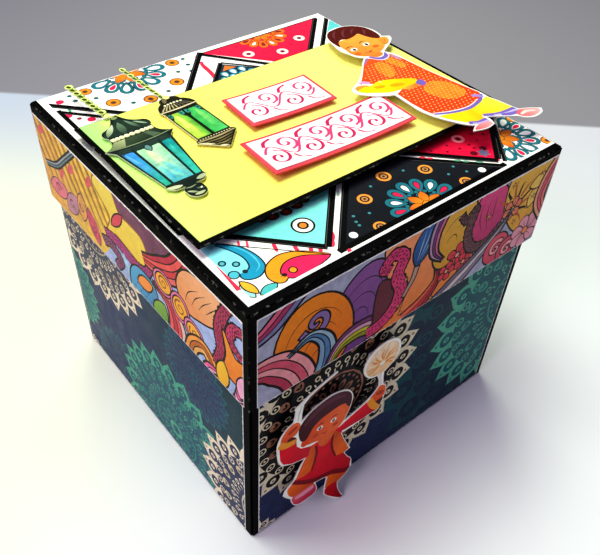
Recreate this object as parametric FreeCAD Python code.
import FreeCAD, Part
import math
import os

# Explosion box: a square box of nested folded card layers, held shut by a lift-off lid.
# Lengths are in millimetres. Z is up, X runs along the front, and the front faces -Y.
# The origin is on the table under the middle of the box.

V = FreeCAD.Vector
SIDES = ("front", "right", "back", "left")

# Driving dimensions of the lid and the box
LID_WIDTH = 131.0
LID_DEPTH = 127.7
LID_SKIRT = 40.0
TOTAL_HEIGHT = 120.5
CARD = 0.4
PRINT = 0.15
PHOTO_MAT = 0.25
FOLD_RADIUS = 0.35
LID_CLEARANCE = 0.8
LID_SEAT_GAP = 0.2
LID_TAB_LENGTH = 11.0
LID_TAB_TAPER = 3.0
SKIRT_END_GAP = 0.2

# Nested layers inside the box
LAYER_GAP = 2.6
LAYER_DROP = 4.0
CORNER_RELIEF = 0.8
PHOTO_MAT_MARGIN = 6.0
FLOOR_MAT_MARGIN = 5.0

# Margins of bare card left round each pasted print
TOP_PRINT_MARGINS = {"left": 2.3, "right": 0.9, "front": 2.9, "back": 0.9}
LID_PRINT_TOP = {"front": 2.7, "right": 2.7, "back": 2.7, "left": 3.8}
LID_PRINT_ENDS = {"front": (2.8, 0.9), "right": (2.2, 1.2), "back": (1.6, 1.6), "left": (0.9, 2.4)}
BOX_PRINT_ENDS = {"front": (2.15, 2.35), "right": (1.4, 1.4), "back": (1.4, 1.4), "left": (1.2, 3.0)}
LID_PRINT_FOOT = 0.3
BOX_PRINT_FOOT = 1.0
BOX_PRINT_HEAD = 2.0

# Raised greeting panel: it spans the lid between two end gaps, and its middle is off the lid's middle
GREETING_END_GAPS = {"left": 2.4, "right": 0.0}
GREETING_MAT_DEPTH = 71.9
GREETING_MIDDLE_Y = -2.4
GREETING_MARGINS = {"ends": 1.8, "front": 1.8, "back": 0.6}
GREETING_CARD = 0.25
GREETING_LIFT = 3.0
FOAM_PAD = 11.0

# Raised tags on the greeting panel: each bows down a little between its ends
TAG_MAT = 0.5
TAG_CARD = 0.3
TAG_LIFT = 1.3
TAG_MARGIN = 1.3
TAG_BOW_RADIUS = 380.0
TAG_BOW_FLATS = 12
SMALL_TAG = {"size": (34.4, 19.4), "centre": (-1.05, 9.85), "turn": -3.2}
LARGE_TAG = {"size": (57.2, 19.3), "centre": (-0.5, -16.2), "turn": -2.2}

# Paper cut-outs
CUTOUT = 0.35
CUTOUT_PAD = 7.0
LANTERN_LIFT = 0.8
CHAIN_PITCH = 2.6
TRAY_CHILD_CLEARANCE = 0.15
SPARKLER_CHILD_LIFT = 2.6
SPARKLER_DRAWN_SKIRT_FOOT = 80.5
SPARKLER_BEND_HEIGHT = 30.0
SPARKLER_BEND_RADIUS = 88.0
SPARKLER_REACH = 20.0

# Foam pads under the cut-outs: x is from the panel's left end, its right end and the box's left wall
LARGE_LANTERN_PADS = [(12.9, 19.4), (13.1, 2.4)]
SMALL_LANTERN_PADS = [(33.5, 22.4), (33.9, 6.4)]
TRAY_CHILD_PADS = [(-13.5, 28.4), (-15.5, 6.4), (-17.5, -15.6)]
SPARKLER_CHILD_PADS = [(27.95, 56.0), (27.95, 35.0), (51.95, 66.0)]

# Sizes worked out from the driving dimensions
FOLD_OUTER = FOLD_RADIUS + CARD
BOX_INSET = 2 * CARD + LID_CLEARANCE + PRINT
BOX_WIDTH = LID_WIDTH - 2 * BOX_INSET
BOX_DEPTH = LID_DEPTH - 2 * BOX_INSET
WALL_HEIGHT = TOTAL_HEIGHT - CARD - LID_SEAT_GAP
LAYER_STEP = CARD + LAYER_GAP
LID_PRINT_TOP_Z = TOTAL_HEIGHT + PRINT
GREETING_LEFT = -LID_WIDTH / 2 + GREETING_END_GAPS["left"]
GREETING_RIGHT = LID_WIDTH / 2 - GREETING_END_GAPS["right"]
GREETING_MIDDLE = ((GREETING_LEFT + GREETING_RIGHT) / 2, GREETING_MIDDLE_Y)
GREETING_MAT_Z = LID_PRINT_TOP_Z + GREETING_LIFT
GREETING_CARD_Z = GREETING_MAT_Z + CARD
GREETING_TOP_Z = GREETING_CARD_Z + GREETING_CARD
BOX_FRONT = BOX_DEPTH / 2 + PRINT
TAG_END_RISE = TAG_BOW_RADIUS - math.sqrt(TAG_BOW_RADIUS**2 - (LARGE_TAG["size"][0] / 2) ** 2)
TRAY_CHILD_LIFT = TAG_LIFT + TAG_END_RISE + TAG_MAT + TAG_CARD + TRAY_CHILD_CLEARANCE
SPARKLER_SCALE = (TOTAL_HEIGHT - LID_SKIRT) / SPARKLER_DRAWN_SKIRT_FOOT


def save(node, *solids):
    """Write one node. Several solids make a group of like pieces."""
    shape = solids[0] if len(solids) == 1 else Part.makeCompound(list(solids))
    shape.exportStep("parts/" + node + ".step")


def block(x, y, z):
    """Box between the low and high value given for each axis."""
    return Part.makeBox(x[1] - x[0], y[1] - y[0], z[1] - z[0], V(x[0], y[0], z[0]))


def join(solids):
    """One solid from solids that touch or overlap."""
    return solids[0].multiFuse(solids[1:]).removeSplitter()


def outline_edges(start, steps):
    """Edges from start through each step: a point is a straight run, a pair (middle, end) an arc."""
    edges = []
    here = V(*start)
    for step in steps:
        if isinstance(step[0], tuple):
            middle, end = V(*step[0]), V(*step[1])
            edges.append(Part.Arc(here, middle, end).toShape())
        else:
            end = V(*step)
            edges.append(Part.makeLine(here, end))
        here = end
    return edges


def crease(centre, radius, start_angle, in_plane):
    """Arc step of a quarter turn about centre, as the pair (middle, end)."""
    points = []
    for angle in (start_angle + math.pi / 4, start_angle + math.pi / 2):
        points.append(in_plane(centre[0] + radius * math.cos(angle), centre[1] + radius * math.sin(angle)))
    return tuple(points)


def folded_strip(span, height, length, along):
    """Strip of card with a flat floor and two upright walls, span apart outside, with round creases.

    along is the axis that the strip's walls run along, and the floor's underside is at z = 0."""
    half = span / 2

    def in_plane(u, z):
        return (u, -length / 2, z) if along == "y" else (-length / 2, u, z)

    inner = half - CARD
    turn = half - FOLD_OUTER
    steps = [in_plane(-half, FOLD_OUTER)]
    steps.append(crease((-turn, FOLD_OUTER), FOLD_OUTER, math.pi, in_plane))
    steps.append(in_plane(turn, 0))
    steps.append(crease((turn, FOLD_OUTER), FOLD_OUTER, -math.pi / 2, in_plane))
    steps += [in_plane(half, height), in_plane(inner, height), in_plane(inner, FOLD_OUTER)]
    middle, end = crease((turn, FOLD_OUTER), FOLD_RADIUS, -math.pi / 2, in_plane)
    steps.append((middle, in_plane(turn, CARD)))
    steps.append(in_plane(-turn, CARD))
    middle, end = crease((-turn, FOLD_OUTER), FOLD_RADIUS, math.pi, in_plane)
    steps.append((middle, in_plane(-inner, FOLD_OUTER)))
    steps += [in_plane(-inner, height), in_plane(-half, height)]
    face = Part.Face(Part.Wire(outline_edges(in_plane(-half, height), steps)))
    return face.extrude(V(0, length, 0) if along == "y" else V(length, 0, 0))


def folded_layer(width, depth, height, floor_z):
    """A square of card cut to a cross and folded up: one floor and four walls that part at the corners."""
    sides = folded_strip(width, height, depth - 2 * CORNER_RELIEF, "y")
    ends = folded_strip(depth, height, width - 2 * CORNER_RELIEF, "x")
    layer = join([sides, ends])
    layer.translate(V(0, 0, floor_z))
    return layer


def corner_tab(x_sign, y_sign):
    """The end of a front or back skirt, bent round the corner and glued inside the side skirt."""
    skirt_low = TOTAL_HEIGHT - LID_SKIRT
    skirt_high = TOTAL_HEIGHT - FOLD_OUTER
    bend_x = LID_WIDTH / 2 - CARD - FOLD_OUTER
    bend_y = LID_DEPTH / 2 - FOLD_OUTER
    tube = Part.makeCylinder(FOLD_OUTER, skirt_high - skirt_low, V(bend_x, bend_y, skirt_low))
    bore = Part.makeCylinder(FOLD_RADIUS, skirt_high - skirt_low, V(bend_x, bend_y, skirt_low))
    quarter = block((bend_x, bend_x + FOLD_OUTER), (bend_y, bend_y + FOLD_OUTER), (skirt_low, skirt_high))
    bend = tube.cut(bore).common(quarter)
    face_x = LID_WIDTH / 2 - 2 * CARD
    end_y = bend_y - LID_TAB_LENGTH
    corners = [
        (face_x, bend_y, skirt_low),
        (face_x, bend_y, skirt_high),
        (face_x, end_y, skirt_high - LID_TAB_TAPER),
        (face_x, end_y, skirt_low + LID_TAB_TAPER),
    ]
    flap = Part.Face(Part.makePolygon([V(*corner) for corner in corners + corners[:1]])).extrude(V(CARD, 0, 0))
    tab = join([bend, flap])
    if x_sign < 0:
        tab = tab.mirror(V(0, 0, 0), V(1, 0, 0))
    if y_sign < 0:
        tab = tab.mirror(V(0, 0, 0), V(0, 1, 0))
    return tab


def lid_shell():
    """The lid's card: a top with four skirts folded down and the corners closed by glued tabs."""
    upside_down = FreeCAD.Placement(V(0, 0, TOTAL_HEIGHT), FreeCAD.Rotation(V(1, 0, 0), 180))
    sides = folded_strip(LID_WIDTH, LID_SKIRT, LID_DEPTH - 2 * FOLD_OUTER, "y")
    ends = folded_strip(LID_DEPTH, LID_SKIRT, LID_WIDTH - 2 * (CARD + FOLD_OUTER), "x")
    pieces = [sides.transformGeometry(upside_down.toMatrix()), ends.transformGeometry(upside_down.toMatrix())]
    skirt_z = (TOTAL_HEIGHT - LID_SKIRT, TOTAL_HEIGHT - FOLD_OUTER)
    reach = LID_DEPTH / 2 - SKIRT_END_GAP
    for x_sign in (-1, 1):
        faces = sorted((x_sign * (LID_WIDTH / 2 - CARD), x_sign * LID_WIDTH / 2))
        pieces.append(block(faces, (-reach, reach), skirt_z))
        for y_sign in (-1, 1):
            pieces.append(corner_tab(x_sign, y_sign))
    return join(pieces)


def wall_sheet(side, half_width, half_depth, thickness, ends, z, outward=True):
    """Sheet pasted on one wall. ends are the bare margins at its left and right, seen from outside.

    It lies outside the wall plane given by the two halves, or inside it."""
    left, right = ends
    near, far = (0.0, thickness) if outward else (-thickness, 0.0)
    if side == "front":
        return block((-half_width + left, half_width - right), (-half_depth - far, -half_depth - near), z)
    if side == "back":
        return block((-half_width + right, half_width - left), (half_depth + near, half_depth + far), z)
    if side == "left":
        return block((-half_width - far, -half_width - near), (-half_depth + right, half_depth - left), z)
    return block((half_width + near, half_width + far), (-half_depth + left, half_depth - right), z)


def lid_side_print(side):
    """Patterned paper on one lid skirt."""
    z = (TOTAL_HEIGHT - LID_SKIRT + LID_PRINT_FOOT, TOTAL_HEIGHT - LID_PRINT_TOP[side])
    return wall_sheet(side, LID_WIDTH / 2, LID_DEPTH / 2, PRINT, LID_PRINT_ENDS[side], z)


def lid_top_print():
    """Patchwork-patterned paper on the lid's top."""
    margins = TOP_PRINT_MARGINS
    return block(
        (-LID_WIDTH / 2 + margins["left"], LID_WIDTH / 2 - margins["right"]),
        (-LID_DEPTH / 2 + margins["front"], LID_DEPTH / 2 - margins["back"]),
        (TOTAL_HEIGHT, LID_PRINT_TOP_Z),
    )


def box_print(side):
    """Lace-patterned paper on one outer wall, inside the wall's cut ends."""
    ends = [CORNER_RELIEF + margin for margin in BOX_PRINT_ENDS[side]]
    z = (BOX_PRINT_FOOT, WALL_HEIGHT - BOX_PRINT_HEAD)
    return wall_sheet(side, BOX_WIDTH / 2, BOX_DEPTH / 2, PRINT, ends, z)


def photo_mat(side, width, depth, height, floor_z):
    """Plain mat pasted inside one wall of a layer, to take a photograph."""
    ends = (PHOTO_MAT_MARGIN + CARD, PHOTO_MAT_MARGIN + CARD)
    z = (floor_z + PHOTO_MAT_MARGIN, floor_z + height - PHOTO_MAT_MARGIN)
    inner_width = width / 2 - CARD
    inner_depth = depth / 2 - CARD
    return wall_sheet(side, inner_width, inner_depth, PHOTO_MAT, ends, z, outward=False)


def turned_plate(size, thickness, centre, turn, z):
    """Flat rectangle of card, turned about its centre, lying at height z."""
    plate = Part.makeBox(size[0], size[1], thickness, V(-size[0] / 2, -size[1] / 2, 0))
    plate.rotate(V(0, 0, 0), V(0, 0, 1), turn)
    plate.translate(V(centre[0], centre[1], z))
    return plate


def pads(places, size, thickness, z, turn=0.0):
    """Square foam pads of one size, each with its centre at a place."""
    return [turned_plate((size, size), thickness, place, turn, z) for place in places]


def greeting_panel():
    """The raised panel: foam pads, a mat and the plain card on it."""
    mat_size = (GREETING_RIGHT - GREETING_LEFT, GREETING_MAT_DEPTH)
    margins = GREETING_MARGINS
    size = (mat_size[0] - 2 * margins["ends"], mat_size[1] - margins["front"] - margins["back"])
    card_centre = (GREETING_MIDDLE[0], GREETING_MIDDLE[1] + (margins["front"] - margins["back"]) / 2)
    reach_x = size[0] / 2 - FOAM_PAD
    reach_y = size[1] / 2 - FOAM_PAD
    places = []
    for x in (-reach_x, 0, reach_x):
        for y in (-reach_y, reach_y):
            places.append((GREETING_MIDDLE[0] + x, GREETING_MIDDLE[1] + y))
    save("greeting_foam_pads", *pads(places, FOAM_PAD, GREETING_LIFT, LID_PRINT_TOP_Z))
    save("greeting_mat", turned_plate(mat_size, CARD, GREETING_MIDDLE, 0, GREETING_MAT_Z))
    save("greeting_card", turned_plate(size, GREETING_CARD, card_centre, 0, GREETING_CARD_Z))


def on_panel(place, end_x=GREETING_MIDDLE[0]):
    """A place on the panel, from its x off end_x and its y off the panel's middle."""
    return (end_x + place[0], GREETING_MIDDLE[1] + place[1])


def bowed_plate(size, thickness, centre, turn, z, trim=0.0):
    """Rectangle of card that bows down between its ends, its middle at height z, less a trim on each edge.

    It bends in short flats, so that a card seats on the mat under it."""
    under = []
    for flat in range(TAG_BOW_FLATS + 1):
        x = size[0] * (flat / TAG_BOW_FLATS - 0.5)
        under.append((x, TAG_BOW_RADIUS - math.sqrt(TAG_BOW_RADIUS**2 - x**2)))
    over = [(x, rise + thickness) for x, rise in reversed(under)]
    corners = [V(x, -size[1] / 2, rise) for x, rise in under + over + under[:1]]
    plate = Part.Face(Part.makePolygon(corners)).extrude(V(0, size[1], 0))
    if trim:
        reach_x, reach_y = size[0] / 2 - trim, size[1] / 2 - trim
        plate = plate.common(Part.makeBox(2 * reach_x, 2 * reach_y, size[0], V(-reach_x, -reach_y, 0)))
    plate.rotate(V(0, 0, 0), V(0, 0, 1), turn)
    plate.translate(V(centre[0], centre[1], z))
    return plate


def tag_pads(tag):
    """Two foam pads under a tag, a quarter of its length from each end, pressed to the tag's bow."""
    turn = math.radians(tag["turn"])
    step = tag["size"][0] / 4
    centre = on_panel(tag["centre"])
    places = []
    for sign in (-1, 1):
        x = centre[0] + sign * step * math.cos(turn)
        y = centre[1] + sign * step * math.sin(turn)
        places.append((x, y))
    tall = pads(places, CUTOUT_PAD, 2 * TAG_LIFT, GREETING_TOP_Z, tag["turn"])
    above = bowed_plate(tag["size"], 4 * TAG_LIFT, centre, tag["turn"], GREETING_TOP_Z + TAG_LIFT)
    return [pad.cut(above) for pad in tall]


def tag_pair(name, tag):
    """One tag: a coloured mat with a smaller blank card on it."""
    mat_z = GREETING_TOP_Z + TAG_LIFT
    centre = on_panel(tag["centre"])
    save(name + "_mat", bowed_plate(tag["size"], TAG_MAT, centre, tag["turn"], mat_z))
    save(name + "_card", bowed_plate(tag["size"], TAG_CARD, centre, tag["turn"], mat_z + TAG_MAT, TAG_MARGIN))


def disc(x, y, radius_x, radius_y, turn=0.0):
    """Flat ellipse cut from paper, in the cut-out's own plane."""
    wide = radius_x >= radius_y
    ellipse = Part.Ellipse(V(0, 0, 0), max(radius_x, radius_y), min(radius_x, radius_y)).toShape()
    solid = Part.Face(Part.Wire(ellipse)).extrude(V(0, 0, CUTOUT))
    solid.rotate(V(0, 0, 0), V(0, 0, 1), turn if wide else turn + 90)
    solid.translate(V(x, y, 0))
    return solid


def limb(start, end, start_width, end_width):
    """Tapered strip with round ends."""
    run = V(end[0] - start[0], end[1] - start[1], 0)
    side = V(-run.y, run.x, 0).normalize()
    start, end = V(start[0], start[1], 0), V(end[0], end[1], 0)
    corners = [
        start + side * start_width / 2,
        end + side * end_width / 2,
        end - side * end_width / 2,
        start - side * start_width / 2,
    ]
    strip = Part.Face(Part.makePolygon(corners + corners[:1])).extrude(V(0, 0, CUTOUT))
    caps = [disc(start.x, start.y, start_width / 2, start_width / 2), disc(end.x, end.y, end_width / 2, end_width / 2)]
    return join([strip] + caps)


def cut_outline(runs):
    """Cut-out from runs of its outline that follow on: one point is a straight cut, more a smooth one."""
    edges = []
    here = V(*runs[-1][-1], 0)
    for run in runs:
        points = [here] + [V(x, y, 0) for x, y in run]
        if len(run) == 1:
            edges.append(Part.makeLine(*points))
        else:
            curve = Part.BSplineCurve()
            curve.interpolate(points)
            edges.append(curve.toShape())
        here = points[-1]
    return Part.Face(Part.Wire(edges)).extrude(V(0, 0, CUTOUT))


def chain(start, end, strip_width, link_widths):
    """Printed chain cut out as a narrow strip with a bulge at each link, two widths in turn."""
    run = math.hypot(end[0] - start[0], end[1] - start[1])
    heading = math.degrees(math.atan2(end[1] - start[1], end[0] - start[0]))
    count = int(run / CHAIN_PITCH)
    pieces = [limb(start, end, strip_width, strip_width)]
    for link in range(count + 1):
        along = link / count
        x = start[0] + (end[0] - start[0]) * along
        y = start[1] + (end[1] - start[1]) * along
        pieces.append(disc(x, y, 0.62 * CHAIN_PITCH, link_widths[link % 2] / 2, heading))
    return join(pieces)


def mirrored_cutout(start, steps):
    """Cut-out that is the same on both sides of x = 0, from the outline of its right half."""
    right = outline_edges(start, steps)
    left = [edge.mirror(V(0, 0, 0), V(1, 0, 0)) for edge in right]
    ends = [(start[0], start[1]), (right[-1].Vertexes[-1].X, right[-1].Vertexes[-1].Y)]
    caps = [Part.makeLine(V(-x, y, 0), V(x, y, 0)) for x, y in ends]
    wire = Part.Wire(Part.__sortEdges__(right + left + caps))
    return Part.Face(wire).extrude(V(0, 0, CUTOUT))


def hung(body, turn, foot, chain_foot, chain_top, chain_widths):
    """A lantern stood on its foot and turned, with a chain up towards the lid's back edge.

    x is from the panel's left end. y is from the panel's middle, and for chain_top from the lid's back edge."""
    body.rotate(V(0, 0, 0), V(0, 0, 1), turn)
    foot_x, foot_y = on_panel(foot, GREETING_LEFT)
    body.translate(V(foot_x, foot_y, 0))
    top = (GREETING_LEFT + chain_top[0], LID_DEPTH / 2 + chain_top[1])
    return join([body, chain(on_panel(chain_foot, GREETING_LEFT), top, *chain_widths)])


def large_lantern():
    """Domed lantern, 53 mm tall, with a tapered glass body and its chain."""
    body = mirrored_cutout(
        (0.6, 0.0, 0),
        [
            ((2.7, 1.4, 0), (3.1, 3.6, 0)),
            ((3.0, 5.2, 0), (1.8, 6.2, 0)),
            (5.0, 6.4, 0),
            (6.9, 8.4, 0),
            (6.5, 9.8, 0),
            (9.7, 32.2, 0),
            (12.1, 34.9, 0),
            ((9.0, 36.6, 0), (7.7, 39.6, 0)),
            (7.6, 41.2, 0),
            ((8.5, 43.6, 0), (7.2, 45.6, 0)),
            ((4.4, 47.0, 0), (2.2, 49.8, 0)),
            (0.9, 52.8, 0),
        ],
    )
    return hung(body, 0.4, (13.1, -18.6), (11.3, 35.5), (9.9, -7.25), (1.8, (2.7, 3.0)))


def small_lantern():
    """Straight lantern, 38 mm tall, with its chain."""
    body = mirrored_cutout(
        (0.5, 0.0, 0),
        [
            ((2.0, 1.4, 0), (3.6, 3.0, 0)),
            (5.7, 5.0, 0),
            (7.7, 6.8, 0),
            (7.4, 7.9, 0),
            (6.5, 8.3, 0),
            (6.5, 27.2, 0),
            (7.1, 28.6, 0),
            ((6.4, 31.2, 0), (4.0, 33.6, 0)),
            ((3.2, 35.6, 0), (1.6, 36.4, 0)),
            (1.0, 37.6, 0),
        ],
    )
    return hung(body, 1.8, (34.15, -2.25), (32.1, 35.6), (30.8, -6.65), (1.3, (1.8, 2.1)))


# Outline of the child with a tray: x from the panel's right end, y from its middle
TRAY_CHILD_RUNS = [
    [
        (-25.0, 15.4), (-26.0, 18.9), (-26.75, 22.07), (-26.33, 25.4), (-25.5, 28.9),
        (-24.5, 32.65), (-22.33, 35.73), (-18.58, 37.9), (-14.0, 38.23), (-9.0, 36.57),
        (-5.67, 33.23), (-4.0, 28.73), (-4.33, 24.57), (-5.08, 22.9),
    ],
    [(-2.17, 21.23)],
    [(-3.17, 19.15), (-6.5, 16.65), (-10.5, 14.4), (-13.33, 12.9)],
    [
        (-12.0, 10.4), (-11.08, 6.82), (-10.83, -0.27), (-10.33, -6.93), (-9.17, -15.27),
        (-7.92, -22.77), (-6.92, -28.6), (-7.0, -32.6),
    ],
    [(-6.0, -36.93), (-5.25, -41.93), (-4.67, -43.93)],
    [(-1.17, -45.6), (2.33, -48.1)],
    [(0.33, -49.93), (-3.83, -50.43), (-6.83, -49.1), (-8.67, -46.6)],
    [(-12.33, -44.27), (-15.5, -42.27), (-18.0, -40.77)],
    [(-18.0, -42.93), (-19.0, -45.27)],
    [(-23.17, -45.77), (-28.5, -44.27)],
    [(-26.67, -43.1), (-25.0, -42.43)],
    [
        (-27.33, -40.1), (-29.83, -36.1), (-31.67, -32.1), (-32.83, -28.77), (-33.58, -24.43),
        (-33.33, -19.43), (-33.0, -12.93),
    ],
    [(-35.83, -11.6), (-39.0, -9.43), (-41.83, -6.93)],
    [(-43.33, -4.85), (-43.42, -2.77), (-42.0, -1.1)],
    [(-38.83, 0.4), (-34.83, 2.9), (-30.67, 6.57), (-26.5, 10.57), (-23.17, 13.23)],
]


def tray_child():
    """Festive child with a tray: head, long kurta, sleeve, tray, trousers and two shoes, in one outline."""
    child = cut_outline(TRAY_CHILD_RUNS)
    child.translate(V(GREETING_RIGHT, GREETING_MIDDLE_Y, 0))
    return child


# Outline of the child with a sparkler: x from the box's left wall, y up from the table
SPARKLER_RUNS = [
    [(22.18, 72.43), (18.32, 69.57)],
    [(17.75, 65.71), (17.75, 61.29)],
    [
        (22.18, 63.43), (29.32, 64.86), (35.04, 63.43), (38.61, 60.57), (40.46, 56.43),
        (40.25, 52.5), (39.32, 48.57), (37.46, 44.43),
    ],
    [(40.75, 45.0), (46.46, 46.43), (50.75, 48.57), (53.25, 51.29)],
    [(52.75, 55.0), (51.32, 58.43)],
    [
        (48.04, 59.71), (45.18, 62.86), (44.04, 66.79), (45.04, 71.07), (48.18, 74.0),
        (52.61, 75.07), (57.18, 74.0), (60.18, 71.07), (61.18, 66.79), (60.18, 63.0),
        (57.61, 60.14), (54.61, 58.57),
    ],
    [(54.89, 55.0), (55.46, 51.29)],
    [(57.04, 48.86), (57.61, 45.57), (57.04, 42.14), (56.18, 39.29), (55.32, 36.29)],
    [(50.75, 36.86), (43.61, 36.71), (37.32, 37.14)],
    [(38.61, 33.21), (40.75, 27.86), (42.89, 23.07)],
    [(39.89, 22.71)],
    [(41.61, 19.14), (43.32, 16.43), (43.18, 12.57)],
    [(40.18, 10.43), (36.04, 9.14)],
    [(35.75, 6.43), (36.61, 2.86), (37.75, 0.57)],
    [(34.32, 1.29), (31.46, 4.29), (28.89, 7.86)],
    [(29.54, 10.71), (31.18, 15.36)],
    [(29.68, 16.29), (25.75, 17.14)],
    [(26.18, 13.21), (24.04, 11.64)],
    [(17.54, 11.93), (15.04, 13.86), (14.18, 17.71)],
    [(12.54, 19.86), (11.18, 22.0)],
    [(12.46, 24.57), (16.04, 27.0)],
    [(17.61, 31.43), (20.61, 37.0)],
    [
        (18.61, 37.71), (14.32, 39.43), (10.54, 42.14), (8.96, 45.0), (8.18, 50.0),
        (8.11, 55.36), (9.46, 59.29), (12.04, 62.14), (14.32, 63.0),
    ],
    [(15.04, 67.71), (14.54, 69.29)],
    [(15.46, 70.29)],
    [(22.18, 73.36), (31.32, 76.0)],
    [(31.89, 75.29)],
]


def bent_sheet():
    """Sheet that hangs straight down clear of the wall, then curves away from it towards the table."""
    back = -BOX_FRONT - SPARKLER_CHILD_LIFT
    left = -BOX_WIDTH / 2
    end_angle = math.asin(SPARKLER_BEND_HEIGHT / SPARKLER_BEND_RADIUS)

    def bow(radius, angle):
        y = back - SPARKLER_BEND_RADIUS + radius * math.cos(angle)
        z = SPARKLER_BEND_HEIGHT - radius * math.sin(angle)
        return (left, y, z)

    outer = SPARKLER_BEND_RADIUS
    inner = SPARKLER_BEND_RADIUS - CUTOUT
    steps = [
        bow(outer, 0),
        (bow(outer, end_angle / 2), bow(outer, end_angle)),
        bow(inner, end_angle),
        (bow(inner, end_angle / 2), bow(inner, 0)),
        (left, back - CUTOUT, WALL_HEIGHT),
        (left, back, WALL_HEIGHT),
    ]
    face = Part.Face(Part.Wire(outline_edges((left, back, WALL_HEIGHT), steps)))
    return face.extrude(V(BOX_WIDTH, 0, 0))


def sparkler_child():
    """The child's outline cut from the bent sheet, as large as the wall under the lid's skirt allows."""
    outline = cut_outline(SPARKLER_RUNS)
    outline.scale(SPARKLER_SCALE, V(0, 0, 0))
    underside = min(outline.Faces, key=lambda face: face.CenterOfMass.z)
    prism = underside.extrude(V(0, 0, SPARKLER_REACH))
    prism.rotate(V(0, 0, 0), V(1, 0, 0), 90)
    prism.translate(V(-BOX_WIDTH / 2, -BOX_FRONT, 0))
    return prism.common(bent_sheet())


def wall_pads(places):
    """Square foam pads between the box's front print and the cut-out that stands on them."""
    half = CUTOUT_PAD / 2
    y = (-BOX_FRONT - SPARKLER_CHILD_LIFT, -BOX_FRONT)
    solids = []
    for across, up in places:
        x = -BOX_WIDTH / 2 + SPARKLER_SCALE * across
        z = SPARKLER_SCALE * up
        solids.append(block((x - half, x + half), y, (z - half, z + half)))
    return solids


def lid():
    """Everything that lifts off: the card lid, its prints and what is raised on its top."""
    save("lid_shell", lid_shell())
    save("lid_top_print", lid_top_print())
    for side in SIDES:
        save("lid_" + side + "_print", lid_side_print(side))
    greeting_panel()
    save("tag_foam_pads", *tag_pads(SMALL_TAG), *tag_pads(LARGE_TAG))
    tag_pair("small_tag", SMALL_TAG)
    tag_pair("large_tag", LARGE_TAG)
    cutouts = [
        ("large_lantern", large_lantern(), LANTERN_LIFT, LARGE_LANTERN_PADS, GREETING_LEFT),
        ("small_lantern", small_lantern(), LANTERN_LIFT, SMALL_LANTERN_PADS, GREETING_LEFT),
        ("tray_child", tray_child(), TRAY_CHILD_LIFT, TRAY_CHILD_PADS, GREETING_RIGHT),
    ]
    for name, cutout, lift, places, end_x in cutouts:
        cutout.translate(V(0, 0, GREETING_TOP_Z + lift))
        save(name, cutout)
        places = [on_panel(place, end_x) for place in places]
        save(name + "_foam_pads", *pads(places, CUTOUT_PAD, lift, GREETING_TOP_Z))


def box():
    """What stays on the table: the three nested layers, their papers and the child on the front."""
    width, depth, height, floor_z = BOX_WIDTH, BOX_DEPTH, WALL_HEIGHT, 0.0
    for layer in ("outer", "middle", "inner"):
        save(layer + "_layer", folded_layer(width, depth, height, floor_z))
        for side in SIDES:
            save(layer + "_" + side + "_mat", photo_mat(side, width, depth, height, floor_z))
        floor_width = width - 2 * (FOLD_OUTER + FLOOR_MAT_MARGIN)
        floor_depth = depth - 2 * (FOLD_OUTER + FLOOR_MAT_MARGIN)
        width, depth = width - 2 * LAYER_STEP, depth - 2 * LAYER_STEP
        height, floor_z = height - LAYER_DROP, floor_z + CARD
    save("floor_mat", turned_plate((floor_width, floor_depth), PHOTO_MAT, (0, 0), 0, floor_z))
    for side in SIDES:
        save("box_" + side + "_print", box_print(side))
    save("sparkler_child", sparkler_child())
    save("sparkler_child_foam_pads", *wall_pads(SPARKLER_CHILD_PADS))


os.makedirs("parts", exist_ok=True)
lid()
box()
